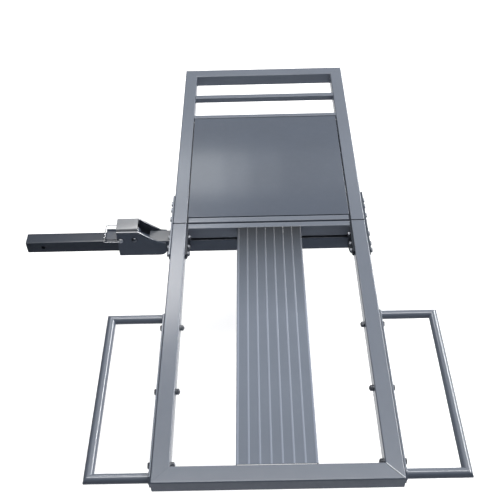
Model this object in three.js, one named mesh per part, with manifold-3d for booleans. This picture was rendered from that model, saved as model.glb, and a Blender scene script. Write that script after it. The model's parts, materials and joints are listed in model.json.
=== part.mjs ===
// Hitch-mounted platform carrier with a fold-up bracket, two bolted frame halves and two side loops.
// Units are millimetres. +Z is up, +X points away from the vehicle, +Y runs along the platform.
// Shapes are written in deck coordinates: X from the platform centreline, Y from the seam between the
// halves, Z from the top of the frame tubes. The deck group then moves the origin to the hitch-pin hole.
import * as THREE from 'three';
import { mergeVertices } from 'three/addons/utils/BufferGeometryUtils.js';
import Module from 'manifold-3d';

const wasm = await Module();
wasm.setup();

// ---- driving dimensions ----
const FRAME_WIDTH = 686;
const NEAR_LENGTH = 1000;
const FAR_LENGTH = 980;
const TUBE = 50;
const TUBE_WALL = 2;
const TUBE_RADIUS = 4;
const SEAM_HALF = 2;
const GAP = 0.3;
const MITRE_GAP = 0.2;

const HALF = FRAME_WIDTH / 2;
const RAIL_INNER = HALF - TUBE;

const CROSS_START = 3;
const CROSS_WIDTH = 25;
const SLIM_BAR = 24;
const SLIM_BAR_Y = 764;
const PANEL_BAR = 20;
const PANEL_BAR_Y = 624;

const SPLICE_THICK = 6;
const SPLICE_REACH = 150;
const INNER_PLATE_TOP = -6;
const SPLICE_BOLT_Y = [47, 95, 128];
const BOLT_Z = -25;
const BOLT_RADIUS = 5;
const HOLE_RADIUS = 5.6;

const BOARD_WIDTH = 225;
const BOARD_RIBS = 8;
const RIB_WIDTH = 8;
const RIB_HEIGHT = 3;
const SHEET = 2;
const BOARD_SKIRT = 30;

const PANEL_HALF = 289.5;
const PANEL_Y = [31, 620];
const PANEL_SKIRT = 23;

const BEAM_TOP = -60;
const BEAM_HEIGHT = 57;
const BEAM_HALF = 29;
const BEAM_WALL = 4;
const BEAM_START = -432;

const SHANK_START = -880;
const SHANK_END = -510;
const SHANK_TOP = -60;
const SHANK_WALL = 4;
const HITCH_HOLE_X = -820;
const HITCH_HOLE_RADIUS = 8;

const PIVOT = { x: -482, z: -43 };
const LOCK = { x: -531, z: -45 };
const PIN_RADIUS = 6;
const BRACKET_INNER = 30.2;
const BRACKET_THICK = 6;
const CHANNEL_X = [-543, -467];
const CHANNEL_LEG_END = -505;
const CHANNEL_WALL = 4;
const CHANNEL_TOP = 4;
const TONGUE_HALF = 12;
const TONGUE_BOSS = 20;

const BAIL_REACH = 61;
const BAIL_HALF = 44;
const WIRE_RADIUS = 1.8;

const LOOP_RADIUS = 14;
const LOOP_WALL = 2.5;
const LOOP_X = 515;
const LOOP_Z = -25;
const LOOP_Y = [-418, -972];
const STRIP_Y = [-402, -994];
const STRIP_CHAMFER = 14;
const STRIP_THICK = 5;
const LOOP_BOLT_Y = [-455, -695, -935];

// ---- materials ----
const coat = new THREE.MeshStandardMaterial({ color: 0x6a727d, roughness: 0.45, metalness: 0.4 });
const coatDark = new THREE.MeshStandardMaterial({ color: 0x3a424e, roughness: 0.5, metalness: 0.4 });
const coatPale = new THREE.MeshStandardMaterial({ color: 0x8a919a, roughness: 0.4, metalness: 0.4 });
const zinc = new THREE.MeshStandardMaterial({ color: 0xc4c6c8, roughness: 0.3, metalness: 0.9 });
const bolt = new THREE.MeshStandardMaterial({ color: 0x3c4046, roughness: 0.4, metalness: 0.8 });
const nylon = new THREE.MeshStandardMaterial({ color: 0x24262a, roughness: 0.6, metalness: 0 });

// ---- solids ----
function solidOf(geometry) {
  const bare = geometry.clone();
  bare.deleteAttribute('normal');
  bare.deleteAttribute('uv');
  const merged = mergeVertices(bare, 1e-3);
  const vertProperties = new Float32Array(merged.attributes.position.array);
  const triVerts = new Uint32Array(merged.index.array);
  return new wasm.Manifold(new wasm.Mesh({ numProp: 3, vertProperties, triVerts }));
}

function geometryOf(solid) {
  const mesh = solid.getMesh();
  const geometry = new THREE.BufferGeometry();
  geometry.setAttribute('position', new THREE.BufferAttribute(new Float32Array(mesh.vertProperties), 3));
  geometry.setIndex(new THREE.BufferAttribute(new Uint32Array(mesh.triVerts), 1));
  geometry.computeVertexNormals();
  return geometry;
}

function cut(geometry, cutters) {
  let solid = solidOf(geometry);
  for (const cutter of cutters) {
    solid = solid.subtract(solidOf(cutter));
  }
  return geometryOf(solid);
}

function join(geometries) {
  let solid = solidOf(geometries[0]);
  for (const geometry of geometries.slice(1)) {
    solid = solid.add(solidOf(geometry));
  }
  return geometryOf(solid);
}

// ---- outlines, as lists of [a, b] pairs ----
function circle(a, b, radius, segments, turn = 0.5) {
  const points = [];
  for (let i = 0; i < segments; i += 1) {
    const angle = (i + turn) * 2 * Math.PI / segments;
    points.push([a + radius * Math.cos(angle), b + radius * Math.sin(angle)]);
  }
  return points;
}

function rectangle(a0, a1, b0, b1) {
  return [[a0, b0], [a1, b0], [a1, b1], [a0, b1]];
}

function chamferedRectangle(a0, a1, b0, b1, size) {
  return [[a0 + size, b0], [a1 - size, b0], [a1, b0 + size], [a1, b1 - size], [a1 - size, b1], [a0 + size, b1],
    [a0, b1 - size], [a0, b0 + size]];
}

function roundedRectangle(a0, a1, b0, b1, radius) {
  const corners = [[a1 - radius, b0 + radius, -90], [a1 - radius, b1 - radius, 0],
    [a0 + radius, b1 - radius, 90], [a0 + radius, b0 + radius, 180]];
  const points = [];
  for (const [a, b, start] of corners) {
    for (let i = 0; i <= 3; i += 1) {
      const angle = THREE.MathUtils.degToRad(start + 30 * i);
      points.push([a + radius * Math.cos(angle), b + radius * Math.sin(angle)]);
    }
  }
  return points;
}

// Extrudes an outline along one axis. Pairs are [y, z] along x, [x, z] along y and [x, y] along z.
function prism(axis, outline, from, to, hole = null) {
  const pair = axis === 'y' ? ([x, z]) => new THREE.Vector2(z, x) : ([a, b]) => new THREE.Vector2(a, b);
  const wound = (pairs) => {
    const points = pairs.map(pair);
    return THREE.ShapeUtils.isClockWise(points) ? points.reverse() : points;
  };
  const shape = new THREE.Shape(wound(outline));
  if (hole) {
    shape.holes.push(new THREE.Path(wound(hole)));
  }
  const start = Math.min(from, to);
  const geometry = new THREE.ExtrudeGeometry(shape, { depth: Math.abs(to - from), bevelEnabled: false });
  geometry.translate(0, 0, start);
  const turn = new THREE.Matrix4();
  if (axis === 'x') {
    turn.set(0, 0, 1, 0, 1, 0, 0, 0, 0, 1, 0, 0, 0, 0, 0, 1);
  }
  if (axis === 'y') {
    turn.set(0, 1, 0, 0, 0, 0, 1, 0, 1, 0, 0, 0, 0, 0, 0, 1);
  }
  return geometry.applyMatrix4(turn);
}

function boxTube(axis, a0, a1, b0, b1, from, to, radius = TUBE_RADIUS, wall = TUBE_WALL) {
  const outer = roundedRectangle(a0, a1, b0, b1, radius);
  const inner = roundedRectangle(a0 + wall, a1 - wall, b0 + wall, b1 - wall, radius - wall * 0.8);
  return prism(axis, outer, from, to, inner);
}

function roundTube(axis, a, b, from, to) {
  const outer = circle(a, b, LOOP_RADIUS, 16, 0);
  const inner = circle(a, b, LOOP_RADIUS - LOOP_WALL, 16, 0);
  return prism(axis, outer, from, to, inner);
}

// Moves each end vertex along its tube so that the end lies in a 45 degree plane.
function mitre(geometry, place) {
  const position = geometry.attributes.position;
  const point = new THREE.Vector3();
  for (let i = 0; i < position.count; i += 1) {
    point.fromBufferAttribute(position, i);
    place(point);
    position.setXYZ(i, point.x, point.y, point.z);
  }
  return geometry;
}

const assembly = new THREE.Group();
const deck = new THREE.Group();
deck.position.set(-HITCH_HOLE_X, 0, TUBE / 2 - SHANK_TOP);
assembly.add(deck);

function add(name, geometry, material) {
  const mesh = new THREE.Mesh(geometry, material);
  mesh.name = name;
  deck.add(mesh);
}

const SIDES = [['left', -1], ['right', 1]];

// ---- shank ----
const shankCuts = [
  prism('y', circle(HITCH_HOLE_X, SHANK_TOP - TUBE / 2, HITCH_HOLE_RADIUS, 24), -40, 40),
  prism('z', rectangle(-537, SHANK_END + 5, -14, 14), SHANK_TOP - 8, SHANK_TOP + 5),
];
const shankTube = boxTube('x', -TUBE / 2, TUBE / 2, SHANK_TOP - TUBE, SHANK_TOP,
  SHANK_START, SHANK_END, TUBE_RADIUS, SHANK_WALL);
add('shank', cut(shankTube, shankCuts), coatDark);

const saddle = [[-17, SHANK_TOP + GAP], [24, SHANK_TOP + GAP], [32, SHANK_TOP + 8], [30, SHANK_TOP + 10],
  [22.8, SHANK_TOP + 3], [-17, SHANK_TOP + 3]];
add('saddle_plate', prism('x', saddle, -590, -545), coatDark);

// ---- fold bracket: two side plates, a cover channel between them, pivot bolt and lock pin ----
const bracketOutline = [[-545, -122], [-543, -6], [-465, -6], [-394, -62], [-372, -64],
  [-372, -106], [-377, -115], [-386, -121], [-397, -123]];
const bracketHoles = [
  prism('y', circle(PIVOT.x, PIVOT.z, PIN_RADIUS + GAP, 20), -60, 60),
  prism('y', circle(LOCK.x, LOCK.z, PIN_RADIUS + GAP, 20), -60, 60),
];
for (const [name, side] of [['near', -1], ['far', 1]]) {
  const from = side * BRACKET_INNER;
  const to = side * (BRACKET_INNER + BRACKET_THICK);
  add(`bracket_plate_${name}`, cut(prism('y', bracketOutline, from, to), bracketHoles), coatDark);
}

const channelHalf = BRACKET_INNER - GAP;
const channelInner = channelHalf - CHANNEL_WALL;
const channelSection = roundedRectangle(-channelHalf, channelHalf, -105, CHANNEL_TOP, 6);
const channelHollow = rectangle(-channelInner, channelInner, -120, CHANNEL_TOP - CHANNEL_WALL);
add('cover_channel', cut(prism('x', channelSection, CHANNEL_X[0], CHANNEL_X[1]), [
  prism('x', channelHollow, CHANNEL_X[0] - 5, CHANNEL_X[1] + 5),
  prism('y', rectangle(CHANNEL_LEG_END, CHANNEL_X[1] + 5, -120, -25), -60, 60),
  bracketHoles[1],
]), coatPale);

const pivotReach = BRACKET_INNER + BRACKET_THICK + GAP;
add('pivot_bolt', join([
  prism('y', circle(PIVOT.x, PIVOT.z, PIN_RADIUS, 20), -pivotReach - 4, pivotReach + 12),
  prism('y', circle(PIVOT.x, PIVOT.z, 9, 20), -pivotReach, -pivotReach - 4),
  prism('y', circle(PIVOT.x, PIVOT.z, 6.5, 20), -pivotReach - 3, -pivotReach - 6),
  prism('y', circle(PIVOT.x, PIVOT.z, 11, 20), pivotReach, pivotReach + 2),
  prism('y', circle(PIVOT.x, PIVOT.z, 10, 6), pivotReach + 2, pivotReach + 11),
]), bolt);

for (const [name, side] of [['near', -1], ['far', 1]]) {
  const outer = circle(PIVOT.x, PIVOT.z, 11, 20);
  const bore = circle(PIVOT.x, PIVOT.z, PIN_RADIUS + GAP, 20);
  const ends = [side * (TONGUE_HALF + GAP), side * (BRACKET_INNER - GAP)];
  add(`spacer_bush_${name}`, prism('y', outer, ends[0], ends[1], bore), nylon);
}

const pinEnd = pivotReach + 5.5;
add('lock_pin', cut(join([
  prism('y', circle(LOCK.x, LOCK.z, PIN_RADIUS, 20), -pinEnd, pinEnd),
  prism('y', circle(LOCK.x, LOCK.z, 8.5, 20), -pivotReach, -pinEnd),
  prism('y', circle(LOCK.x, LOCK.z, 8.5, 20), pivotReach, pinEnd),
]), [
  prism('y', circle(LOCK.x, LOCK.z, WIRE_RADIUS + GAP, 12), -pinEnd - 5, -pinEnd + 7),
  prism('y', circle(LOCK.x, LOCK.z, WIRE_RADIUS + GAP, 12), pinEnd - 7, pinEnd + 5),
]), zinc);

// The bail is one wire: a peg in each end of the lock pin, two arms and a cross piece.
function bailPath() {
  const bend = 6;
  const far = LOCK.x - BAIL_REACH;
  const corners = [[LOCK.x, -BAIL_HALF], [far, -BAIL_HALF], [far, BAIL_HALF], [LOCK.x, BAIL_HALF]];
  const path = new THREE.CurvePath();
  let last = new THREE.Vector3(LOCK.x, -pinEnd + 5.5, LOCK.z);
  corners.forEach(([x, y], i) => {
    const corner = new THREE.Vector3(x, y, LOCK.z);
    const next = i < 3 ? new THREE.Vector3(corners[i + 1][0], corners[i + 1][1], LOCK.z)
      : new THREE.Vector3(LOCK.x, pinEnd - 5.5, LOCK.z);
    const radius = i === 0 || i === 3 ? 2.4 : bend;
    const before = corner.clone().add(last.clone().sub(corner).setLength(radius));
    const after = corner.clone().add(next.clone().sub(corner).setLength(radius));
    path.add(new THREE.LineCurve3(last, before));
    path.add(new THREE.QuadraticBezierCurve3(before, corner, after));
    last = after;
  });
  path.add(new THREE.LineCurve3(last, new THREE.Vector3(LOCK.x, pinEnd - 5.5, LOCK.z)));
  return path;
}

// Sweeps a round wire along a path that stays in one level plane.
function wire(path, radius, sides, divisions) {
  const centres = [];
  for (const curve of path.curves) {
    const steps = curve.isLineCurve3 ? 1 : divisions;
    for (let i = 0; i < steps; i += 1) {
      centres.push(curve.getPoint(i / steps));
    }
  }
  centres.push(path.curves[path.curves.length - 1].getPoint(1));
  const up = new THREE.Vector3(0, 0, 1);
  const vertices = [];
  centres.forEach((centre, i) => {
    const previous = centres[Math.max(i - 1, 0)];
    const next = centres[Math.min(i + 1, centres.length - 1)];
    const ahead = next.clone().sub(centre).normalize();
    const behind = centre.clone().sub(previous).normalize();
    const along = ahead.add(behind).normalize();
    const across = new THREE.Vector3().crossVectors(up, along);
    for (let k = 0; k < sides; k += 1) {
      const angle = 2 * Math.PI * (k + 0.5) / sides;
      const point = centre.clone().addScaledVector(across, radius * Math.cos(angle));
      point.addScaledVector(up, radius * Math.sin(angle));
      vertices.push(point.x, point.y, point.z);
    }
  });
  const index = [];
  for (let i = 0; i < centres.length - 1; i += 1) {
    for (let k = 0; k < sides; k += 1) {
      const a = i * sides + k;
      const b = i * sides + (k + 1) % sides;
      index.push(a, b, a + sides, b, b + sides, a + sides);
    }
  }
  const last = (centres.length - 1) * sides;
  for (let k = 1; k < sides - 1; k += 1) {
    index.push(0, k + 1, k);
    index.push(last, last + k, last + k + 1);
  }
  const geometry = new THREE.BufferGeometry();
  geometry.setAttribute('position', new THREE.BufferAttribute(new Float32Array(vertices), 3));
  geometry.setIndex(index);
  geometry.computeVertexNormals();
  return geometry;
}
add('wire_bail', wire(bailPath(), WIRE_RADIUS, 10, 4), zinc);

// ---- beam and the tongue that turns in the bracket ----
add('beam', boxTube('x', -BEAM_HALF, BEAM_HALF, BEAM_TOP - BEAM_HEIGHT, BEAM_TOP,
  BEAM_START, HALF - 4, TUBE_RADIUS, BEAM_WALL), coatDark);
add('beam_cap', prism('x', roundedRectangle(-BEAM_HALF, BEAM_HALF, BEAM_TOP - BEAM_HEIGHT, BEAM_TOP,
  TUBE_RADIUS), HALF - 4 + GAP, HALF - GAP), nylon);

const tongueTop = BEAM_TOP - BEAM_WALL - GAP;
const tongueBottom = BEAM_TOP - BEAM_HEIGHT + BEAM_WALL + GAP;
const noseTop = LOCK.z - PIN_RADIUS - GAP;
const tongueOutline = [[-534, noseTop], [-502, noseTop]];
for (let degrees = 170; degrees >= -20; degrees -= 19) {
  const angle = THREE.MathUtils.degToRad(degrees);
  tongueOutline.push([PIVOT.x + TONGUE_BOSS * Math.cos(angle), PIVOT.z + TONGUE_BOSS * Math.sin(angle)]);
}
tongueOutline.push([-440, tongueTop], [-392, tongueTop], [-392, tongueBottom], [-440, tongueBottom],
  [-490, -88], [-534, -67]);
add('tongue', cut(prism('y', tongueOutline, -TONGUE_HALF, TONGUE_HALF), [bracketHoles[0]]), coatDark);

// ---- splice plates, inner and outer on each rail ----
const spliceOutline = (top) => [[-SPLICE_REACH, top], [SPLICE_REACH, top], [SPLICE_REACH, -28], [95, -66],
  [60, -96], [30, -100], [30, BEAM_TOP + GAP], [-30, BEAM_TOP + GAP], [-30, -100], [-60, -96], [-95, -66],
  [-SPLICE_REACH, -28]];
const solidOutline = spliceOutline(-1).filter(([, z]) => z !== BEAM_TOP + GAP);
const spliceBoltY = [...SPLICE_BOLT_Y.map((y) => -y), ...SPLICE_BOLT_Y];
function boltHoles(positions, radius, inner, outer) {
  return positions.map((y) => prism('x', circle(y, BOLT_Z, radius, 12), inner, outer));
}
for (const [name, side] of SIDES) {
  const innerFace = side * (RAIL_INNER - GAP);
  const outerFace = side * (HALF + GAP);
  const holes = boltHoles(spliceBoltY, HOLE_RADIUS, side * 200, side * 400);
  const inner = prism('x', spliceOutline(INNER_PLATE_TOP), innerFace - side * SPLICE_THICK, innerFace);
  const outline = side > 0 ? solidOutline : spliceOutline(-1);
  const outer = prism('x', outline, outerFace, outerFace + side * SPLICE_THICK);
  add(`splice_plate_${name}_inner`, cut(inner, holes), coat);
  add(`splice_plate_${name}_outer`, cut(outer, holes), coat);
}

// ---- frame halves: mitred rails and end tubes, cross tubes at the seam ----
function railPair(half, direction, length, holesAt) {
  for (const [name, side] of SIDES) {
    const [x0, x1] = side < 0 ? [-HALF, -RAIL_INNER] : [RAIL_INNER, HALF];
    const rail = boxTube('y', x0, x1, -TUBE, 0, direction * SEAM_HALF, direction * length);
    mitre(rail, (point) => {
      if (Math.abs(point.y) > length / 2) {
        point.y = direction * (length - (HALF - Math.abs(point.x)) - MITRE_GAP);
      }
    });
    add(`${half}_rail_${name}`, cut(rail, boltHoles(holesAt, HOLE_RADIUS, side * 200, side * 400)), coat);
  }
  const [endY0, endY1] = direction < 0 ? [-length, TUBE - length] : [length - TUBE, length];
  const tube = boxTube('x', endY0, endY1, -TUBE, 0, -HALF, HALF);
  mitre(tube, (point) => {
    point.x = Math.sign(point.x) * (HALF - (length - Math.abs(point.y)) - MITRE_GAP);
  });
  add(`${half}_end_tube`, tube, coat);
  const crossEnds = [direction * CROSS_START, direction * (CROSS_START + CROSS_WIDTH)];
  const reach = RAIL_INNER - SPLICE_THICK - 2 * GAP;
  add(`${half}_cross_tube`, boxTube('x', Math.min(...crossEnds), Math.max(...crossEnds), -TUBE, 0,
    -reach, reach, 4), coat);
}
const nearSpliceHoles = SPLICE_BOLT_Y.map((y) => -y);
railPair('near', -1, NEAR_LENGTH, [...nearSpliceHoles, ...LOOP_BOLT_Y]);
railPair('far', 1, FAR_LENGTH, SPLICE_BOLT_Y);

const barReach = RAIL_INNER - GAP;
add('far_slim_bar', boxTube('x', SLIM_BAR_Y, SLIM_BAR_Y + SLIM_BAR, -SLIM_BAR, 0,
  -barReach, barReach, 3, 2), coat);
add('far_panel_bar', boxTube('x', PANEL_BAR_Y, PANEL_BAR_Y + PANEL_BAR, -PANEL_BAR, 0,
  -barReach, barReach, 3, 2), coat);

// ---- ribbed centre board of the near half: one folded sheet ----
function boardOutline() {
  const points = [[-BOARD_WIDTH / 2, -BOARD_SKIRT], [-BOARD_WIDTH / 2, 0]];
  const pitch = (BOARD_WIDTH - RIB_WIDTH) / (BOARD_RIBS - 1);
  for (let i = 0; i < BOARD_RIBS; i += 1) {
    const centre = -BOARD_WIDTH / 2 + RIB_WIDTH / 2 + i * pitch;
    for (let k = 0; k <= 6; k += 1) {
      const angle = Math.PI * (1 - k / 6);
      points.push([centre + RIB_WIDTH / 2 * Math.cos(angle), RIB_HEIGHT * Math.sin(angle)]);
    }
  }
  points.push([BOARD_WIDTH / 2, -BOARD_SKIRT], [BOARD_WIDTH / 2 - SHEET, -BOARD_SKIRT],
    [BOARD_WIDTH / 2 - SHEET, -SHEET], [-BOARD_WIDTH / 2 + SHEET, -SHEET],
    [-BOARD_WIDTH / 2 + SHEET, -BOARD_SKIRT]);
  return points.filter(([x, z], i) => i === 0 || x !== points[i - 1][0] || z !== points[i - 1][1]);
}
add('ribbed_board', prism('y', boardOutline(), -(NEAR_LENGTH - TUBE - GAP),
  -(CROSS_START + CROSS_WIDTH + GAP)), coat);

// ---- flat deck panel of the far half: a tray with folded edges, on two ledges ----
const trayTop = prism('z', rectangle(-PANEL_HALF, PANEL_HALF, PANEL_Y[0], PANEL_Y[1]), -PANEL_SKIRT, -0.5);
const trayHollow = prism('z', rectangle(-PANEL_HALF + SHEET, PANEL_HALF - SHEET, PANEL_Y[0] + SHEET,
  PANEL_Y[1] - SHEET), -PANEL_SKIRT - 5, -0.5 - SHEET);
const plateFace = RAIL_INNER - SPLICE_THICK - 2 * GAP;
const reliefs = SIDES.flatMap(([, side]) => [[plateFace, PANEL_Y[0] - 5], [268, PANEL_Y[0] + SHEET]].map(
  ([x, y]) => prism('z', rectangle(side * x, side * 300, y, SPLICE_REACH + 3), -PANEL_SKIRT - 5, -0.5 - SHEET)));
add('deck_panel', cut(trayTop, [trayHollow, ...reliefs]), coat);
for (const [name, side] of SIDES) {
  const ledge = rectangle(side * 271, side * (RAIL_INNER - GAP), -PANEL_SKIRT - GAP - SHEET,
    -PANEL_SKIRT - GAP);
  add(`panel_ledge_${name}`, prism('y', ledge, SPLICE_REACH + 4, PANEL_BAR_Y - GAP), coatDark);
}

// ---- side loops: mitred round tube on a flat strip, bolted through the rail ----
for (const [name, side] of SIDES) {
  const stripInner = side * (HALF + GAP);
  const stripOuter = side * (HALF + GAP + STRIP_THICK);
  const strip = prism('x', chamferedRectangle(STRIP_Y[1], STRIP_Y[0], -TUBE, -1, STRIP_CHAMFER), stripInner,
    stripOuter);
  add(`loop_${name}_strip`, cut(strip, boltHoles(LOOP_BOLT_Y, HOLE_RADIUS, side * 200, side * 400)), coat);
  const outerTube = roundTube('y', side * LOOP_X, LOOP_Z, LOOP_Y[1], LOOP_Y[0]);
  mitre(outerTube, (point) => {
    const outward = Math.abs(point.x) - LOOP_X;
    point.y += (point.y > (LOOP_Y[0] + LOOP_Y[1]) / 2 ? 1 : -1) * (outward - MITRE_GAP);
  });
  add(`loop_${name}_outer_tube`, outerTube, coat);
  for (const [end, y, along] of [['far', LOOP_Y[0], 1], ['near', LOOP_Y[1], -1]]) {
    const arm = roundTube('x', y, LOOP_Z, stripOuter + side * GAP, side * LOOP_X);
    mitre(arm, (point) => {
      if (Math.abs(point.x) > LOOP_X - 40) {
        point.x += side * (along * (point.y - y) - MITRE_GAP);
      }
    });
    add(`loop_${name}_arm_${end}`, arm, coat);
  }
}

// ---- bolts: head, washers, shaft and lock nut in one solid ----
function throughBolt(side, y, outerFace, innerFace, nutHeight) {
  const headFace = outerFace + GAP;
  const nutFace = innerFace - GAP;
  const at = (x) => side * x;
  return join([
    prism('x', circle(y, BOLT_Z, BOLT_RADIUS, 12), at(nutFace - nutHeight - 3.5), at(headFace + 5)),
    prism('x', circle(y, BOLT_Z, 10, 12), at(headFace), at(headFace + 1.6)),
    prism('x', circle(y, BOLT_Z, 9, 6), at(headFace + 1.6), at(headFace + 7.6)),
    prism('x', circle(y, BOLT_Z, 10, 12), at(nutFace - 1.6), at(nutFace)),
    prism('x', circle(y, BOLT_Z, 9, 6), at(nutFace - nutHeight - 1.6), at(nutFace - 1.6)),
  ]);
}
for (const [name, side] of SIDES) {
  const spliceOuter = HALF + GAP + SPLICE_THICK;
  const spliceInner = RAIL_INNER - GAP - SPLICE_THICK;
  spliceBoltY.forEach((y, i) => {
    add(`splice_bolt_${name}_${i + 1}`, throughBolt(side, y, spliceOuter, spliceInner, 6), bolt);
  });
  LOOP_BOLT_Y.forEach((y, i) => {
    add(`loop_bolt_${name}_${i + 1}`, throughBolt(side, y, HALF + GAP + STRIP_THICK, RAIL_INNER, 9),
      bolt);
  });
}

export default assembly;
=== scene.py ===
import json
import math

import bmesh
import bpy
from mathutils import Euler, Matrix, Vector


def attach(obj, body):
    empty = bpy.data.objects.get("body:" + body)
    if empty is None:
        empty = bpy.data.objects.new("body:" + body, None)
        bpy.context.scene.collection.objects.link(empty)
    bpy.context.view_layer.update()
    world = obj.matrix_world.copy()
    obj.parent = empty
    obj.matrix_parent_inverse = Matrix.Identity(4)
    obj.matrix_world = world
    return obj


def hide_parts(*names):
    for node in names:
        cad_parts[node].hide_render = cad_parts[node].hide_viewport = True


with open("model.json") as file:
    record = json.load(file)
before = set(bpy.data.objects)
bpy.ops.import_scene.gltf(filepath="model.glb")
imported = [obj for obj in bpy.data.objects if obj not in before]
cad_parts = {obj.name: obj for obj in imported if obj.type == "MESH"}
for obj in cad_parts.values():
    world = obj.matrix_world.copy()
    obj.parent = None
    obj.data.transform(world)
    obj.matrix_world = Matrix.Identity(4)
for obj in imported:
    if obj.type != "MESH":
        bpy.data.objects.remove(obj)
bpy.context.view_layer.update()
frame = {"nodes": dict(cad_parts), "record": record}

# ---------------------------------------------------------------- dimensions, metres
DECK_X = 0.820
DECK_Z = 0.085
RAIL_OUT = 0.343
RAIL_IN = 0.293
TUBE = RAIL_OUT - RAIL_IN
NEAR_END = -1.0
FAR_END = 0.980
BEAM_TOP = -0.060
BRACKET_PLATE_TOP = -0.006
BRACKET_PLATE_OUT = 0.0365
BOLT_Z = -0.025


def deck(x, y, z):
    """A point given from the deck's centre and top, in the part's frame."""
    return Vector((x + DECK_X, y, z + DECK_Z))


# ---------------------------------------------------------------- materials
def shader(name):
    material = bpy.data.materials.new(name)
    material.use_nodes = True
    tree = material.node_tree
    return material, tree, tree.nodes["Principled BSDF"]


def noise(tree, scale, detail=2.0, roughness=0.5, stretch=None):
    """Noise in object space, drawn out along an axis by a stretch."""
    coords = tree.nodes.new("ShaderNodeTexCoord")
    node = tree.nodes.new("ShaderNodeTexNoise")
    node.inputs["Scale"].default_value = scale
    node.inputs["Detail"].default_value = detail
    node.inputs["Roughness"].default_value = roughness
    if stretch:
        mapping = tree.nodes.new("ShaderNodeMapping")
        mapping.inputs["Scale"].default_value = stretch
        tree.links.new(coords.outputs["Object"], mapping.inputs["Vector"])
        tree.links.new(mapping.outputs["Vector"], node.inputs["Vector"])
    else:
        tree.links.new(coords.outputs["Object"], node.inputs["Vector"])
    return node.outputs["Fac"]


def remap(tree, source, low, high, from_low=0.3, from_high=0.7):
    """The source's range from_low to from_high, carried onto low to high."""
    node = tree.nodes.new("ShaderNodeMapRange")
    node.inputs["From Min"].default_value = from_low
    node.inputs["From Max"].default_value = from_high
    node.inputs["To Min"].default_value = low
    node.inputs["To Max"].default_value = high
    tree.links.new(source, node.inputs["Value"])
    return node.outputs["Result"]


def ramp(tree, source, colours):
    """A colour ramp; colours holds (place, colour) from low to high."""
    node = tree.nodes.new("ShaderNodeValToRGB")
    while len(node.color_ramp.elements) < len(colours):
        node.color_ramp.elements.new(0.5)
    for element, (place, colour) in zip(node.color_ramp.elements, colours):
        element.position = place
        element.color = (*colour, 1.0)
    tree.links.new(source, node.inputs["Fac"])
    return node.outputs["Color"]


def mix(tree, factor, first, second, mode="MIX"):
    """Two colours mixed; each input is a socket or a value."""
    node = tree.nodes.new("ShaderNodeMix")
    node.data_type = "RGBA"
    node.blend_type = mode
    for socket, value in ((node.inputs[0], factor), (node.inputs[6], first), (node.inputs[7], second)):
        if isinstance(value, bpy.types.NodeSocket):
            tree.links.new(value, socket)
        else:
            socket.default_value = value
    return node.outputs[2]


def bump(tree, bsdf, source, strength, distance, below=None):
    """Relief on the shader's normal, laid over an earlier relief when there is one below."""
    node = tree.nodes.new("ShaderNodeBump")
    node.inputs["Strength"].default_value = strength
    node.inputs["Distance"].default_value = distance
    tree.links.new(source, node.inputs["Height"])
    if below:
        tree.links.new(below, node.inputs["Normal"])
    tree.links.new(node.outputs["Normal"], bsdf.inputs["Normal"])
    return node.outputs["Normal"]


def shade(colour, factor):
    return tuple(channel * factor for channel in colour)


def grey(value):
    return (value, value, value)


DUST_COLOUR = (0.20, 0.20, 0.21, 1.0)
# Height over which the painted highlight on top faces and crests blends in.
PAINTED_HIGHLIGHT_BAND = 0.0004
# Y range over which the painted shade on the ribbed board deepens towards the far end.
PAINTED_SHADE_Y = (-0.44, -0.03)


def powder_coat(name, colour, rough=0.42, dust=0.05, specular=0.35, coat=1.0, gloss=0.14,
                painted_highlight_above=None, painted_highlight_colour=(0.16, 0.18, 0.22), painted_far_shade=False):
    """Satin powder coat: orange peel, mottled tone, settled dust, a pale painted highlight above a given
    height, painted shade towards the far end.
    """
    material, tree, bsdf = shader(name)
    broad = ramp(tree, noise(tree, 5.0, 3.0), [(0.3, shade(colour, 0.93)), (0.7, shade(colour, 1.07))])
    fleck = ramp(tree, noise(tree, 1400.0, 2.0, 0.7),
                 [(0.35, shade(colour, 0.82)), (0.75, shade(colour, 1.2))])
    base = mix(tree, 0.35, broad, fleck)
    grime = remap(tree, noise(tree, 38.0, 5.0, 0.65), 0.0, dust, 0.5, 0.85)
    base = mix(tree, grime, base, DUST_COLOUR)
    # Painted highlight: above the given height the colour turns paler, standing in for light caught by top
    # faces, edges and rib crests.
    if painted_highlight_above is not None:
        coords = tree.nodes.new("ShaderNodeTexCoord")
        split = tree.nodes.new("ShaderNodeSeparateXYZ")
        tree.links.new(coords.outputs["Object"], split.inputs["Vector"])
        high = remap(tree, split.outputs["Z"], 0.0, 1.0, painted_highlight_above, painted_highlight_above + PAINTED_HIGHLIGHT_BAND)
        base = mix(tree, high, base, (*painted_highlight_colour, 1.0))
        # Painted shade: the colour is multiplied down along Y, darkest towards the far end.
        if painted_far_shade:
            along = remap(tree, split.outputs["Y"], 0.0, 1.0, *PAINTED_SHADE_Y)
            far = ramp(tree, along, [(0.0, grey(1.12)), (0.55, grey(0.70)), (1.0, grey(0.12))])
            base = mix(tree, 1.0, base, far, "MULTIPLY")
    tree.links.new(base, bsdf.inputs["Base Color"])
    tree.links.new(remap(tree, noise(tree, 60.0, 4.0), rough - 0.05, rough + 0.07), bsdf.inputs["Roughness"])
    bsdf.inputs["Specular IOR Level"].default_value = specular
    bsdf.inputs["Coat Weight"].default_value = coat
    bsdf.inputs["Coat Roughness"].default_value = gloss
    peel = bump(tree, bsdf, noise(tree, 900.0, 1.0), 0.35, 0.00012)
    bump(tree, bsdf, noise(tree, 16.0, 2.0), 0.15, 0.0008, peel)
    return material


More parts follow.
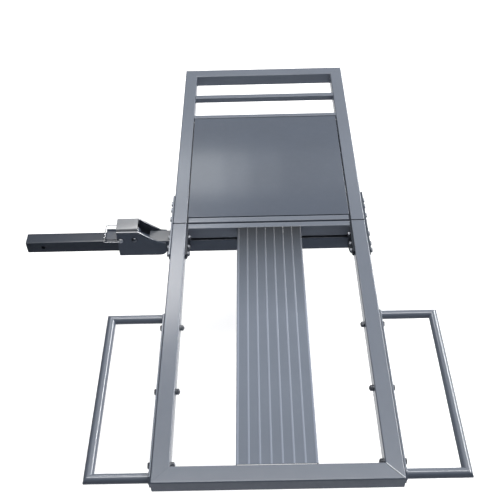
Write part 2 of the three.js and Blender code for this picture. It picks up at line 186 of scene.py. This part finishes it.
def plated(name, colour, rough, grain=260.0):
    """Zinc-plated steel with a faint crystalline bloom and fine wear marks."""
    material, tree, bsdf = shader(name)
    bloom = ramp(tree, noise(tree, grain, 4.0, 0.6), [(0.3, shade(colour, 0.75)), (0.7, colour)])
    tree.links.new(bloom, bsdf.inputs["Base Color"])
    tree.links.new(remap(tree, noise(tree, 420.0, 3.0), rough - 0.08, rough + 0.12), bsdf.inputs["Roughness"])
    bsdf.inputs["Metallic"].default_value = 1.0
    bump(tree, bsdf, noise(tree, 700.0, 2.0, 0.6, (1.0, 0.2, 1.0)), 0.3, 0.00008)
    return material


def moulded(name, colour):
    """Black nylon with a fine moulded texture."""
    material, tree, bsdf = shader(name)
    base = ramp(tree, noise(tree, 180.0, 3.0), [(0.3, shade(colour, 0.8)), (0.7, shade(colour, 1.25))])
    tree.links.new(base, bsdf.inputs["Base Color"])
    tree.links.new(remap(tree, noise(tree, 90.0), 0.5, 0.65), bsdf.inputs["Roughness"])
    bump(tree, bsdf, noise(tree, 1200.0, 2.0), 0.4, 0.0001)
    return material


FRAME_COLOUR = (0.087, 0.102, 0.130)
CHARCOAL = (0.040, 0.051, 0.073)
COAT = powder_coat("blue_grey_powder_coat", FRAME_COLOUR, gloss=0.18)
COAT_TUBE = powder_coat("tube_powder_coat", FRAME_COLOUR, gloss=0.13)
COAT_PANEL = powder_coat("smooth_powder_coat", (0.050, 0.062, 0.085), rough=0.40, dust=0.04, specular=0.20,
                         coat=0.9, gloss=0.115)
COAT_DARK = powder_coat("charcoal_powder_coat", CHARCOAL, rough=0.40, dust=0.03, specular=0.3)
# Painted shade: a near-black matt coat on the panel ledges, standing in for the shaded dark line there.
COAT_MATT_PAINTED_SHADE = powder_coat("matt_painted_shade_coat", (0.010, 0.011, 0.013), rough=0.7, dust=0.02,
                        specular=0.1, coat=0.0)
# Painted reflection: a pale coat on pieces that are glossy charcoal, standing in for the softbox they
# reflect.
COAT_PALE_PAINTED_REFLECTION = powder_coat("pale_powder_coat", (0.120, 0.127, 0.138), rough=0.38, specular=0.5)
# The ribbed board: a painted highlight on the rib crests and painted shade towards the far end.
COAT_RIBBED_PAINTED_LIGHT = powder_coat("ribbed_coat_painted_highlight_and_shade", (0.103, 0.119, 0.147), rough=0.55, specular=0.15, coat=0.1,
                          painted_highlight_above=DECK_Z + 0.0002, painted_far_shade=True)
# Bracket plates: charcoal, with a pale painted highlight along the top edge.
COAT_PLATE_PAINTED_HIGHLIGHT = powder_coat("charcoal_plate_coat_painted_highlight", CHARCOAL, rough=0.40, dust=0.03, specular=0.3,
                         painted_highlight_above=DECK_Z + BRACKET_PLATE_TOP - 0.0008, painted_highlight_colour=(0.36, 0.37, 0.39))
# The beam: charcoal, with a paler painted highlight on its top face.
COAT_BEAM_PAINTED_HIGHLIGHT = powder_coat("charcoal_beam_coat_painted_highlight", CHARCOAL, rough=0.40, dust=0.03, specular=0.3,
                        painted_highlight_above=DECK_Z + BEAM_TOP - 0.0006, painted_highlight_colour=(0.085, 0.093, 0.106))
# Painted shade: a near-black copy of the coat for the inner splice plates, which sit in shade.
COAT_PAINTED_SHADE = powder_coat("painted_shade_plate_coat", (0.014, 0.018, 0.026), rough=0.55, dust=0.02, specular=0.15,
                         coat=0.2)
# Painted shade: a darker, less glossy copy of the frame coat for the right outer splice plate.
COAT_FLAT_PAINTED_SHADE = powder_coat("flat_plate_coat_painted_shade", (0.046, 0.055, 0.070), rough=0.6, dust=0.03, specular=0.12,
                        coat=0.1)
# The shank: charcoal paint, darkened further as a painted shadow of the vehicle it hangs from.
COAT_SHANK_PAINTED_SHADOW = powder_coat("charcoal_shank_coat_painted_shadow", (0.020, 0.026, 0.038), dust=0.03, specular=0.25, coat=0.55)
WELD = powder_coat("coated_weld", (0.115, 0.130, 0.160), rough=0.32, dust=0.03)
WELD_BRIGHT = powder_coat("pale_weld", (0.34, 0.36, 0.39), rough=0.30, dust=0.03)
ZINC = plated("bright_zinc", (0.78, 0.79, 0.81), 0.44)
BOLT = plated("dark_zinc", (0.23, 0.24, 0.26), 0.30)
WIRE = plated("drawn_zinc", (0.40, 0.41, 0.43), 0.20)
NYLON = moulded("black_nylon", (0.022, 0.022, 0.024))

SLOT_MATERIAL = {
    "powder_coat": COAT,
    "dark_powder_coat": COAT_DARK,
    "pale_powder_coat": COAT_PALE_PAINTED_REFLECTION,
    "bolt_steel": BOLT,
    "zinc_plate": ZINC,
    "nylon": NYLON,
}
OWN_MATERIAL = {
    "deck_panel": COAT_PANEL,
    "beam": COAT_BEAM_PAINTED_HIGHLIGHT,
    "shank": COAT_SHANK_PAINTED_SHADOW,
    "bracket_plate_near": COAT_PLATE_PAINTED_HIGHLIGHT,
    "bracket_plate_far": COAT_PLATE_PAINTED_HIGHLIGHT,
    "panel_ledge_left": COAT_MATT_PAINTED_SHADE,
    "panel_ledge_right": COAT_MATT_PAINTED_SHADE,
    "splice_plate_left_inner": COAT_PAINTED_SHADE,
    "splice_plate_right_inner": COAT_PAINTED_SHADE,
    "splice_plate_right_outer": COAT_FLAT_PAINTED_SHADE,
}
NODE_SLOT = {part["node"]: part["material_slot"] for part in frame["record"]["subparts"]}


# ---------------------------------------------------------------- finishing the CAD pieces
def smooth_tree():
    """Geometry nodes that shade an object smooth except across edges sharper than 35 degrees."""
    tree = bpy.data.node_groups.new("smooth_by_angle", "GeometryNodeTree")
    tree.interface.new_socket("Geometry", in_out="INPUT", socket_type="NodeSocketGeometry")
    tree.interface.new_socket("Geometry", in_out="OUTPUT", socket_type="NodeSocketGeometry")
    start = tree.nodes.new("NodeGroupInput")
    end = tree.nodes.new("NodeGroupOutput")
    angle = tree.nodes.new("GeometryNodeInputMeshEdgeAngle")
    compare = tree.nodes.new("FunctionNodeCompare")
    compare.operation = "LESS_THAN"
    compare.inputs[1].default_value = math.radians(35)
    faces = tree.nodes.new("GeometryNodeSetShadeSmooth")
    edges = tree.nodes.new("GeometryNodeSetShadeSmooth")
    edges.domain = "EDGE"
    tree.links.new(angle.outputs[0], compare.inputs[0])
    tree.links.new(start.outputs[0], faces.inputs["Geometry"])
    tree.links.new(faces.outputs[0], edges.inputs["Geometry"])
    tree.links.new(compare.outputs[0], edges.inputs["Shade Smooth"])
    tree.links.new(edges.outputs[0], end.inputs[0])
    return tree


SMOOTH = smooth_tree()


def finish_edges(obj, width):
    """Joins split vertices, breaks sharp edges with a small bevel and shades the flat faces flat."""
    weld = obj.modifiers.new("weld", "WELD")
    weld.merge_threshold = 0.00002
    if width:
        bevel = obj.modifiers.new("bevel", "BEVEL")
        bevel.width = width
        bevel.segments = 2
        bevel.limit_method = "ANGLE"
        bevel.angle_limit = math.radians(40)
        bevel.harden_normals = False
        bevel.use_clamp_overlap = True
    smooth = obj.modifiers.new("smooth", "NODES")
    smooth.node_group = SMOOTH
    flat = obj.modifiers.new("flat_faces", "WEIGHTED_NORMAL")
    flat.mode = "FACE_AREA"
    flat.weight = 100
    flat.keep_sharp = True


BEVEL = {"bracket_plate": 0.0009, "splice_plate": 0.0008, "cover_channel": 0.0007, "tongue": 0.0012,
         "deck_panel": 0.0014, "saddle_plate": 0.0005, "loop_": 0.0007}
PLAIN_BEVEL = 0.0004
for name, obj in frame["nodes"].items():
    obj.data.materials.clear()
    obj.data.materials.append(OWN_MATERIAL.get(name, SLOT_MATERIAL[NODE_SLOT[name]]))
    width = next((value for key, value in BEVEL.items() if name.startswith(key)), PLAIN_BEVEL)
    finish_edges(obj, width)


# ---------------------------------------------------------------- building new pieces
def new_object(name, vertices, faces, material, body, replaces=()):
    """A new visible piece that rides on a body and may stand in for CAD nodes."""
    mesh = bpy.data.meshes.new(name)
    mesh.from_pydata([tuple(v) for v in vertices], [], faces)
    mesh.validate()
    work = bmesh.new()
    work.from_mesh(mesh)
    bmesh.ops.recalc_face_normals(work, faces=work.faces)
    work.to_mesh(mesh)
    work.free()
    mesh.materials.append(material)
    obj = bpy.data.objects.new(name, mesh)
    bpy.context.collection.objects.link(obj)
    finish_edges(obj, 0)
    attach(obj, body)
    if replaces:
        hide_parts(*replaces)
    return obj


def axis_frame(axis):
    """The axis and two directions across it."""
    along = Vector(axis).normalized()
    across = Vector((0, 0, 1)) if abs(along.z) < 0.9 else Vector((1, 0, 0))
    side = along.cross(across).normalized()
    return along, side, along.cross(side).normalized() * -1


def turned(centre, axis, rings, segments=48):
    """Vertices and faces of a closed turned form. Each ring is (distance along, radius by angle)."""
    along, side, up = axis_frame(axis)
    vertices, faces = [], []
    for distance, radius in rings:
        for k in range(segments):
            angle = 2 * math.pi * k / segments
            r = radius(angle) if callable(radius) else radius
            middle = centre + along * distance
            vertices.append(middle + side * (r * math.cos(angle)) + up * (r * math.sin(angle)))
    for i in range(len(rings) - 1):
        for k in range(segments):
            a, b = i * segments + k, i * segments + (k + 1) % segments
            faces.append((a, b, b + segments, a + segments))
    faces.append(tuple(reversed(range(segments))))
    faces.append(tuple(range((len(rings) - 1) * segments, len(rings) * segments)))
    return vertices, faces


def merged(parts):
    """One list of vertices and faces from several."""
    vertices, faces = [], []
    for more_vertices, more_faces in parts:
        start = len(vertices)
        vertices += more_vertices
        faces += [tuple(index + start for index in face) for face in more_faces]
    return vertices, faces


def hexagon(flat_half, limit=1.0):
    """The radius by angle of a hexagon, with its corners turned off at a limit."""
    def radius(angle):
        turn = (angle + math.pi / 6) % (math.pi / 3) - math.pi / 6
        return min(flat_half / math.cos(turn), limit)
    return radius


def threaded(radius, start, end, pitch=0.0015, depth=0.0006):
    """Rings of a helical thread with a small lead-in at its end."""
    rings = []
    steps = max(2, int((end - start) / pitch * 5))
    for i in range(steps + 1):
        distance = start + (end - start) * i / steps

        def profile(angle, distance=distance):
            phase = (distance / pitch - angle / (2 * math.pi)) % 1.0
            return radius - depth * abs(2 * phase - 1)
        rings.append((distance, profile))
    rings.append((end + 0.0006, radius - depth - 0.0006))
    return rings


BEAD_RADIUS = {"strip": 0.0021, "loop_mitre": 0.0010, "cross": 0.0016, "proud_mitre": 0.0021,
               "flush_mitre": 0.0009, "inner_mitre": 0.0020, "beam": 0.0022}
WASHER = 0.0016
WASHER_RING = [(0.0, 0.0094), (0.0003, 0.0098), (0.0013, 0.0098), (WASHER, 0.0094)]
HEX_HALF = 0.0078
HEX_CHAMFER = 0.0077


def through_bolt(name, side, y, head_face, nut_face, tall):
    """A hex bolt along X with washers and a nylon-insert lock nut, in place of the CAD bolt of that name.
    The faces are distances from the centreline; tall is how far the nut's top stands off its face."""
    base = deck(0, y, BOLT_Z)
    out = Vector((side, 0, 0))
    head = base + out * head_face
    nut = base + out * nut_face
    parts = [
        turned(head, out, WASHER_RING, 40),
        turned(head, out, [(WASHER, hexagon(0.0076, 0.0085)), (0.0018, hexagon(HEX_HALF)),
                           (0.0064, hexagon(HEX_HALF)), (0.0075, hexagon(HEX_HALF, HEX_CHAMFER))]),
        turned(nut, -out, WASHER_RING, 40),
        turned(nut, -out, [(WASHER, hexagon(HEX_HALF, 0.0084)), (0.0022, hexagon(HEX_HALF)),
                           (tall - 0.0014, hexagon(HEX_HALF)),
                           (tall - 0.0009, hexagon(HEX_HALF, HEX_CHAMFER)),
                           (tall - 0.0006, 0.0070), (tall + 0.0002, 0.0066), (tall + 0.0005, 0.0060)]),
        turned(nut, -out, [(-0.004, 0.0044)] + threaded(0.0049, tall - 0.0004, tall + 0.0014), 24),
    ]
    new_object(name + "_detail", *merged(parts), BOLT, "platform", (name,))


def bead(name, points, radius, closed=False, material=WELD):
    """A weld bead on the platform: a rounded ridge with overlapping ripples along a line of points."""
    step, sides = 0.0032, 8
    path = [Vector(p) for p in points]
    if closed:
        path.append(path[0])
    stations = []
    for a, b in zip(path, path[1:]):
        count = max(1, int((b - a).length / (step / 4)))
        stations += [a.lerp(b, i / count) for i in range(count)]
    if not closed:
        stations.append(path[-1])
    vertices, faces = [], []
    count = len(stations)
    travelled = 0.0
    for i, centre in enumerate(stations):
        before = stations[i - 1] if closed or i else centre
        after = stations[(i + 1) % count] if closed or i < count - 1 else centre
        along = (after - before).normalized()
        _, side, up = axis_frame(along)
        travelled += (centre - before).length
        ripple = 1.0 + 0.16 * abs(math.sin(math.pi * travelled / step)) + 0.06 * math.sin(travelled * 410.0)
        taper = 1.0 if closed else min(1.0, 0.35 + 0.3 * min(i, count - 1 - i))
        for k in range(sides):
            angle = 2 * math.pi * k / sides
            offset = side * math.cos(angle) + up * math.sin(angle)
            vertices.append(centre + offset * radius * ripple * taper)
    for i in range(count if closed else count - 1):
        for k in range(sides):
            a, b = i * sides + k, i * sides + (k + 1) % sides
            c, d = (i + 1) % count * sides + (k + 1) % sides, (i + 1) % count * sides + k
            faces.append((a, b, c, d))
    if not closed:
        faces.append(tuple(range(sides)))
        faces.append(tuple(range((count - 1) * sides, count * sides)))
    obj = new_object(name, vertices, faces, material, "platform")


# ---------------------------------------------------------------- side loops
LOOP_R = 0.014
LOOP_WALL = 0.0025
LOOP_X = 0.515
LOOP_Z = -0.025
LOOP_Y = {"far": -0.418, "near": -0.972}
STRIP_OUT = 0.3486
RING_STEPS = 40


def pipe(name, start, end, start_slope, end_slope):
    """A round tube from start to end; a slope turns that end to a 45 degree mitre."""
    along, across, up = axis_frame(end - start)
    n = 56
    vertices, faces = [], []
    for radius in (LOOP_R, LOOP_R - LOOP_WALL):
        for centre, slope in ((start, start_slope), (end, end_slope)):
            for k in range(n):
                angle = 2 * math.pi * k / n
                offset = across * (radius * math.cos(angle)) + up * (radius * math.sin(angle))
                vertices.append(centre + offset + along * offset.dot(slope))
    for k in range(n):
        j = (k + 1) % n
        faces += [(k, j, n + j, n + k), (2 * n + j, 2 * n + k, 3 * n + k, 3 * n + j),
                  (k, 2 * n + k, 2 * n + j, j), (n + k, n + j, 3 * n + j, 3 * n + k)]
    new_object(name + "_detail", vertices, faces, COAT_TUBE, "platform", (name,))


def ring_angles():
    return [2 * math.pi * i / RING_STEPS for i in range(RING_STEPS)]


def loop_welds(label, side, end, turn, root, corner):
    """The bead round an arm's root on the strip, and the one along its mitre with the outer tube."""
    out, outside = side * 0.0006, LOOP_R + 0.0006
    ring = [root + Vector((out, outside * math.cos(a), outside * math.sin(a))) for a in ring_angles()]
    bead(f"weld_loop_{label}_{end}_strip", ring, BEAD_RADIUS["strip"], closed=True)
    inside = LOOP_R - 0.0012
    mitre = [corner + Vector((side * inside * math.cos(a), turn * inside * math.cos(a), inside * math.sin(a)))
             for a in ring_angles()]
    bead(f"weld_loop_{label}_{end}_corner", mitre, BEAD_RADIUS["loop_mitre"], closed=True)


SQUARE_END = Vector((0, 0, 0))
for label, side in (("left", -1), ("right", 1)):
    outward = Vector((side, 0, 0))
    far_corner = deck(side * LOOP_X, LOOP_Y["far"], LOOP_Z)
    near_corner = deck(side * LOOP_X, LOOP_Y["near"], LOOP_Z)
    pipe(f"loop_{label}_outer_tube", near_corner, far_corner, outward * -1, outward)
    for end, corner, turn in (("far", far_corner, 1), ("near", near_corner, -1)):
        root = deck(side * (STRIP_OUT + 0.0003), LOOP_Y[end], LOOP_Z)
        pipe(f"loop_{label}_arm_{end}", root, corner, SQUARE_END, Vector((0, turn, 0)))
        loop_welds(label, side, end, turn, root, corner)

# ---------------------------------------------------------------- bolts
SPLICE_BOLT_Y = (-0.047, -0.095, -0.128, 0.047, 0.095, 0.128)
SPLICE_FACES = {"head_face": 0.3496, "nut_face": 0.2864, "tall": 0.0076}
LOOP_BOLT_Y = (-0.455, -0.695, -0.935)
LOOP_FACES = {"head_face": STRIP_OUT, "nut_face": 0.2927, "tall": 0.0106}
for label, side in (("left", -1), ("right", 1)):
    for i, y in enumerate(SPLICE_BOLT_Y):
        through_bolt(f"splice_bolt_{label}_{i + 1}", side, y, **SPLICE_FACES)
    for i, y in enumerate(LOOP_BOLT_Y):
        through_bolt(f"loop_bolt_{label}_{i + 1}", side, y, **LOOP_FACES)

# ---------------------------------------------------------------- ribbed board
BOARD_HALF = 0.1125
BOARD_Y = (-0.9495, -0.0285)
RIBS = 8
RIB_W = 0.008
RIB_H = 0.0012
RIB_STEPS = 12
SHEET = 0.002
SKIRT = 0.030


def board():
    """The ribbed sheet with folded skirts: one outline across, pulled along Y."""
    shoulder = -0.0015
    outline = [(-BOARD_HALF, -SKIRT), (-BOARD_HALF, shoulder)]
    pitch = (2 * BOARD_HALF - RIB_W) / (RIBS - 1)
    for i in range(RIBS):
        centre = -BOARD_HALF + RIB_W / 2 + i * pitch
        for k in range(RIB_STEPS + 1):
            t = k / RIB_STEPS
            outline.append((centre + RIB_W / 2 * (2 * t - 1), RIB_H * math.sin(math.pi * t)))
    outline += [(BOARD_HALF, shoulder), (BOARD_HALF, -SKIRT), (BOARD_HALF - SHEET, -SKIRT),
                (BOARD_HALF - SHEET, -SHEET), (-BOARD_HALF + SHEET, -SHEET), (-BOARD_HALF + SHEET, -SKIRT)]
    vertices = [deck(x, y, z) for y in BOARD_Y for x, z in outline]
    n = len(outline)
    faces = [(i, (i + 1) % n, n + (i + 1) % n, n + i) for i in range(n)]
    faces += [tuple(range(n)), tuple(reversed(range(n, 2 * n)))]
    new_object("ribbed_board_detail", vertices, faces, COAT_RIBBED_PAINTED_LIGHT, "platform", ("ribbed_board",))


board()

# ---------------------------------------------------------------- bracket hardware
PIVOT = deck(-0.482, 0, -0.043)
LOCK = deck(-0.531, 0, -0.045)
PLATE = BRACKET_PLATE_OUT
NUT_HALF = 0.0086


def bracket_hardware():
    """The lock pin with a turned head at each end, and the pivot bolt with its head, washer and nut."""
    far = Vector((0, 1, 0))
    near = Vector((0, -1, 0))
    shaft = PLATE + 0.0030
    pin = [turned(LOCK, far, [(-shaft, 0.006), (shaft, 0.006)], 32)]
    pin_head = [(PLATE, 0.0079), (PLATE + 0.0006, 0.0085), (PLATE + 0.0030, 0.0085),
                (PLATE + 0.0044, 0.0078), (PLATE + 0.0052, 0.0060), (PLATE + 0.0055, 0.0030)]
    for direction in (near, far):
        pin.append(turned(LOCK, direction, pin_head))
    new_object("lock_pin_detail", *merged(pin), ZINC, "hitch_bracket", ("lock_pin",))

    bolt_head = [(PLATE, 0.0086), (PLATE + 0.0005, 0.0090), (PLATE + 0.0022, 0.0089),
                 (PLATE + 0.0040, 0.0076), (PLATE + 0.0053, 0.0052), (PLATE + 0.0060, 0.0022)]
    washer = [(PLATE, 0.0106), (PLATE + 0.0003, 0.0110), (PLATE + 0.0017, 0.0110), (PLATE + 0.0020, 0.0106)]
    nut = [(PLATE + 0.0020, hexagon(NUT_HALF, 0.0094)), (PLATE + 0.0028, hexagon(NUT_HALF)),
           (PLATE + 0.0090, hexagon(NUT_HALF)), (PLATE + 0.0096, hexagon(NUT_HALF, NUT_HALF)),
           (PLATE + 0.0098, 0.0078), (PLATE + 0.0108, 0.0070)]
    bolt = [
        turned(PIVOT, near, [(-PLATE - 0.0110, 0.0058), (PLATE + 0.001, 0.0060)], 32),
        turned(PIVOT, near, bolt_head),
        turned(PIVOT, far, washer),
        turned(PIVOT, far, nut),
        turned(PIVOT, far, threaded(0.0060, PLATE + 0.0098, PLATE + 0.0114, 0.00175), 32),
    ]
    new_object("pivot_bolt_detail", *merged(bolt), BOLT, "hitch_bracket", ("pivot_bolt",))


bracket_hardware()


def swept_wire(name, points, radius, material, body, replaces):
    """A round wire along a line of points."""
    curve = bpy.data.curves.new(name, "CURVE")
    curve.dimensions = "3D"
    curve.bevel_depth = radius
    curve.bevel_resolution = 6
    curve.use_fill_caps = True
    spline = curve.splines.new("POLY")
    spline.points.add(len(points) - 1)
    for place, point in zip(spline.points, points):
        place.co = (*point, 1.0)
    spline.use_smooth = True
    curve.materials.append(material)
    obj = bpy.data.objects.new(name, curve)
    bpy.context.collection.objects.link(obj)
    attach(obj, body)
    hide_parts(*replaces)


def rounded_path(corners, radii):
    """The corner points with each inner corner replaced by a short curve."""
    points = [corners[0]]
    for i in range(1, len(corners) - 1):
        corner, radius = corners[i], radii[i - 1]
        start = corner + (corners[i - 1] - corner).normalized() * radius
        end = corner + (corners[i + 1] - corner).normalized() * radius
        for k in range(9):
            t = k / 8
            points.append(start * (1 - t) ** 2 + corner * (2 * t * (1 - t)) + end * t ** 2)
    points.append(corners[-1])
    return points


BAIL_X, BAIL_Y = 0.061, 0.044
BAIL_WIRE = 0.0018
BAIL_BENDS = (0.0024, 0.006, 0.006, 0.0024)
bail = [LOCK + Vector(p) for p in ((0, -PLATE, 0), (0, -BAIL_Y, 0), (-BAIL_X, -BAIL_Y, 0),
                                   (-BAIL_X, BAIL_Y, 0), (0, BAIL_Y, 0), (0, PLATE, 0))]
swept_wire("wire_bail_detail", rounded_path(bail, BAIL_BENDS), BAIL_WIRE, WIRE, "bail", ("wire_bail",))

# ---------------------------------------------------------------- weld beads on the frame
# Each bar or tube across the frame: where it starts and ends along Y, and how deep it is.
SLIM_BAR = (0.764, 0.788, 0.024)
PANEL_BAR = (0.624, 0.644, 0.020)
NEAR_CROSS = (-0.028, -0.003, 0.048)
BEAD_TOP = -0.0024
INNER_PLATE_FACE = RAIL_IN - 0.0068
PLATE_MIDDLE = 0.0038
BEAM_WELD_Y = 0.0305
BEAM_WELD_Z = (-0.068, -0.097)


def cross_welds(label, side):
    """Two upright beads where a bar or tube meets the rail, or the splice plate on it."""
    at_rail = side * (RAIL_IN - 0.0004)
    at_plate = side * INNER_PLATE_FACE
    for piece, (y0, y1, depth), x in (("slim", SLIM_BAR, at_rail), ("panel_bar", PANEL_BAR, at_rail),
                                      ("near_cross", NEAR_CROSS, at_plate)):
        for place, y in (("a", y0), ("b", y1)):
            line = [deck(x, y, BEAD_TOP), deck(x, y, -depth)]
            bead(f"weld_{piece}_{label}_{place}", line, BEAD_RADIUS["cross"])


def mitre_welds(label, side):
    """Beads on top of and inside each frame corner; the near right one stands proud and is paler."""
    for half, y_out, y_in in (("near", NEAR_END, NEAR_END + TUBE), ("far", FAR_END, FAR_END - TUBE)):
        outer, inner = deck(side * RAIL_OUT, y_out, 0), deck(side * RAIL_IN, y_in, 0)
        across = [outer.lerp(inner, t) - Vector((0, 0, 0.0006)) for t in (0.04, 0.97)]
        if half == "near" and side > 0:
            bead(f"weld_{half}_{label}_mitre_top", across, BEAD_RADIUS["proud_mitre"], material=WELD_BRIGHT)
        else:
            bead(f"weld_{half}_{label}_mitre_top", across, BEAD_RADIUS["flush_mitre"], material=COAT)
        down = [inner - Vector((0, 0, depth)) for depth in (0.004, 0.046)]
        bead(f"weld_{half}_{label}_mitre_inner", down, BEAD_RADIUS["inner_mitre"])


def beam_welds(label, side):
    """Upright beads between the splice plates and the beam, which stops short of the right outer plate."""
    for place, y in (("a", -BEAM_WELD_Y), ("b", BEAM_WELD_Y)):
        for plate, x in (("inner", RAIL_IN - PLATE_MIDDLE), ("outer", RAIL_OUT + PLATE_MIDDLE)):
            if plate == "outer" and side > 0:
                continue
            line = [deck(side * x, y, z) for z in BEAM_WELD_Z]
            bead(f"weld_beam_{label}_{plate}_{place}", line, BEAD_RADIUS["beam"])


for label, side in (("left", -1), ("right", 1)):
    cross_welds(label, side)
    mitre_welds(label, side)
    beam_welds(label, side)

# ---------------------------------------------------------------- floor, light and camera
FLOOR_Z = -0.60
FLOOR_HALF = 14.0


def stage():
    """A pale floor, faintly lit from within so that it stays white under the dim side of the studio."""
    material, tree, bsdf = shader("pale_floor")
    tone = ramp(tree, noise(tree, 0.8, 2.0), [(0.3, grey(0.93)), (0.7, grey(0.96))])
    tree.links.new(tone, bsdf.inputs["Base Color"])
    bsdf.inputs["Roughness"].default_value = 0.9
    bsdf.inputs["Specular IOR Level"].default_value = 0.1
    bsdf.inputs["Emission Color"].default_value = (1.0, 1.0, 1.0, 1.0)
    bsdf.inputs["Emission Strength"].default_value = 0.2
    mesh = bpy.data.meshes.new("floor")
    corners = [(FLOOR_HALF * i, FLOOR_HALF * j) for i, j in ((-1, -1), (1, -1), (1, 1), (-1, 1))]
    mesh.from_pydata([(x + DECK_X, y, FLOOR_Z) for x, y in corners], [], [(0, 1, 2, 3)])
    mesh.materials.append(material)
    floor = bpy.data.objects.new("floor", mesh)
    bpy.context.collection.objects.link(floor)
    floor.visible_glossy = False


def area_light(name, place, target, size, power, colour=(1, 1, 1)):
    """A rectangular softbox at a place, aimed at a target."""
    data = bpy.data.lights.new(name, "AREA")
    data.shape = "RECTANGLE"
    data.size, data.size_y = size
    data.energy = power
    data.color = colour
    light = bpy.data.objects.new(name, data)
    light.location = place
    light.rotation_euler = (Vector(target) - Vector(place)).to_track_quat("-Z", "Y").to_euler()
    bpy.context.collection.objects.link(light)


def back_softbox(name, x, width, power):
    """One of the boxes behind the deck whose steps in strength make the panel's soft reflection."""
    place = centre + Vector((x, 3.12, 2.41))
    area_light(name, place, centre + Vector((x, 0.2, 0.0)), (width, 0.37), power, (0.96, 0.99, 1.0))


stage()
centre = deck(0, 0, 0)
area_light("overhead", centre + Vector((0.0, -0.1, 3.4)), centre + Vector((0.0, -0.05, 0.0)), (4.6, 1.2), 140)
back_softbox("back_left_softbox", x=-0.88, width=1.1, power=4.1)
back_softbox("back_left_fade", x=-0.22, width=0.22, power=0.52)
back_softbox("back_middle_fade", x=0.03, width=0.28, power=0.34)
back_softbox("back_band", x=0.3, width=3.2, power=2.0)
area_light("upper_left_softbox", centre + Vector((-1.05, 2.45, 3.1)), centre + Vector((-0.3, 0.2, 0.0)),
           (1.2, 0.7), 24, (1.0, 0.98, 0.97))
area_light("right_key", Vector((5.0, 2.6, 3.0)), Vector((0.8, -0.7, 0.08)), (5.0, 0.5), 380)

LEAN = 0.6
GROUND_GLOW = (0.58, 0.59, 0.61)
WALL_GLOW = grey(0.38)
ROOF_GLOW = (0.30, 0.30, 0.305)
FRONT_GLOW = (0.14, 0.17, 0.23)


def studio_world():
    """A studio: bright at the back and right, dim above, at the left and towards the front."""
    world = bpy.data.worlds.new("studio")
    world.use_nodes = True
    tree = world.node_tree
    coords = tree.nodes.new("ShaderNodeTexCoord")
    split = tree.nodes.new("ShaderNodeSeparateXYZ")
    tree.links.new(coords.outputs["Generated"], split.inputs["Vector"])
    level = remap(tree, split.outputs["Z"], 0.0, 1.0, -1.0, 1.0)
    height = ramp(tree, level, [(0.0, GROUND_GLOW), (0.47, GROUND_GLOW), (0.50, WALL_GLOW),
                                (0.78, WALL_GLOW), (0.83, ROOF_GLOW), (1.0, ROOF_GLOW)])
    towards_back = remap(tree, split.outputs["Y"], 0.0, 1.0, -0.7, 0.2)
    depth = ramp(tree, towards_back, [(0.0, FRONT_GLOW), (1.0, grey(1.0))])
    slope = tree.nodes.new("ShaderNodeMath")
    slope.operation = "ABSOLUTE"
    tree.links.new(split.outputs["Z"], slope.inputs[0])
    lean = tree.nodes.new("ShaderNodeMath")
    lean.operation = "MULTIPLY_ADD"
    lean.inputs[1].default_value = LEAN
    tree.links.new(slope.outputs[0], lean.inputs[0])
    tree.links.new(split.outputs["X"], lean.inputs[2])
    side = remap(tree, lean.outputs[0], 0.10, 1.0, -0.2, 0.28)
    room = mix(tree, 1.0, mix(tree, 1.0, height, depth, "MULTIPLY"), side, "MULTIPLY")
    tree.links.new(room, tree.nodes["Background"].inputs["Color"])
    tree.nodes["Background"].inputs["Strength"].default_value = 1.5
    bpy.context.scene.world = world


def viewpoint():
    """The camera, at the angle that the object is known from."""
    data = bpy.data.cameras.new("camera")
    data.lens = 55.6063
    data.sensor_width = 36.0
    camera = bpy.data.objects.new("camera", data)
    camera.location = (0.780812, -1.989430, 1.995268)
    camera.rotation_euler = Euler((0.768998, 0.0222983, -0.0076405), "XYZ")
    bpy.context.collection.objects.link(camera)
    bpy.context.scene.camera = camera


studio_world()
viewpoint()
bpy.context.scene.view_settings.view_transform = "Standard"
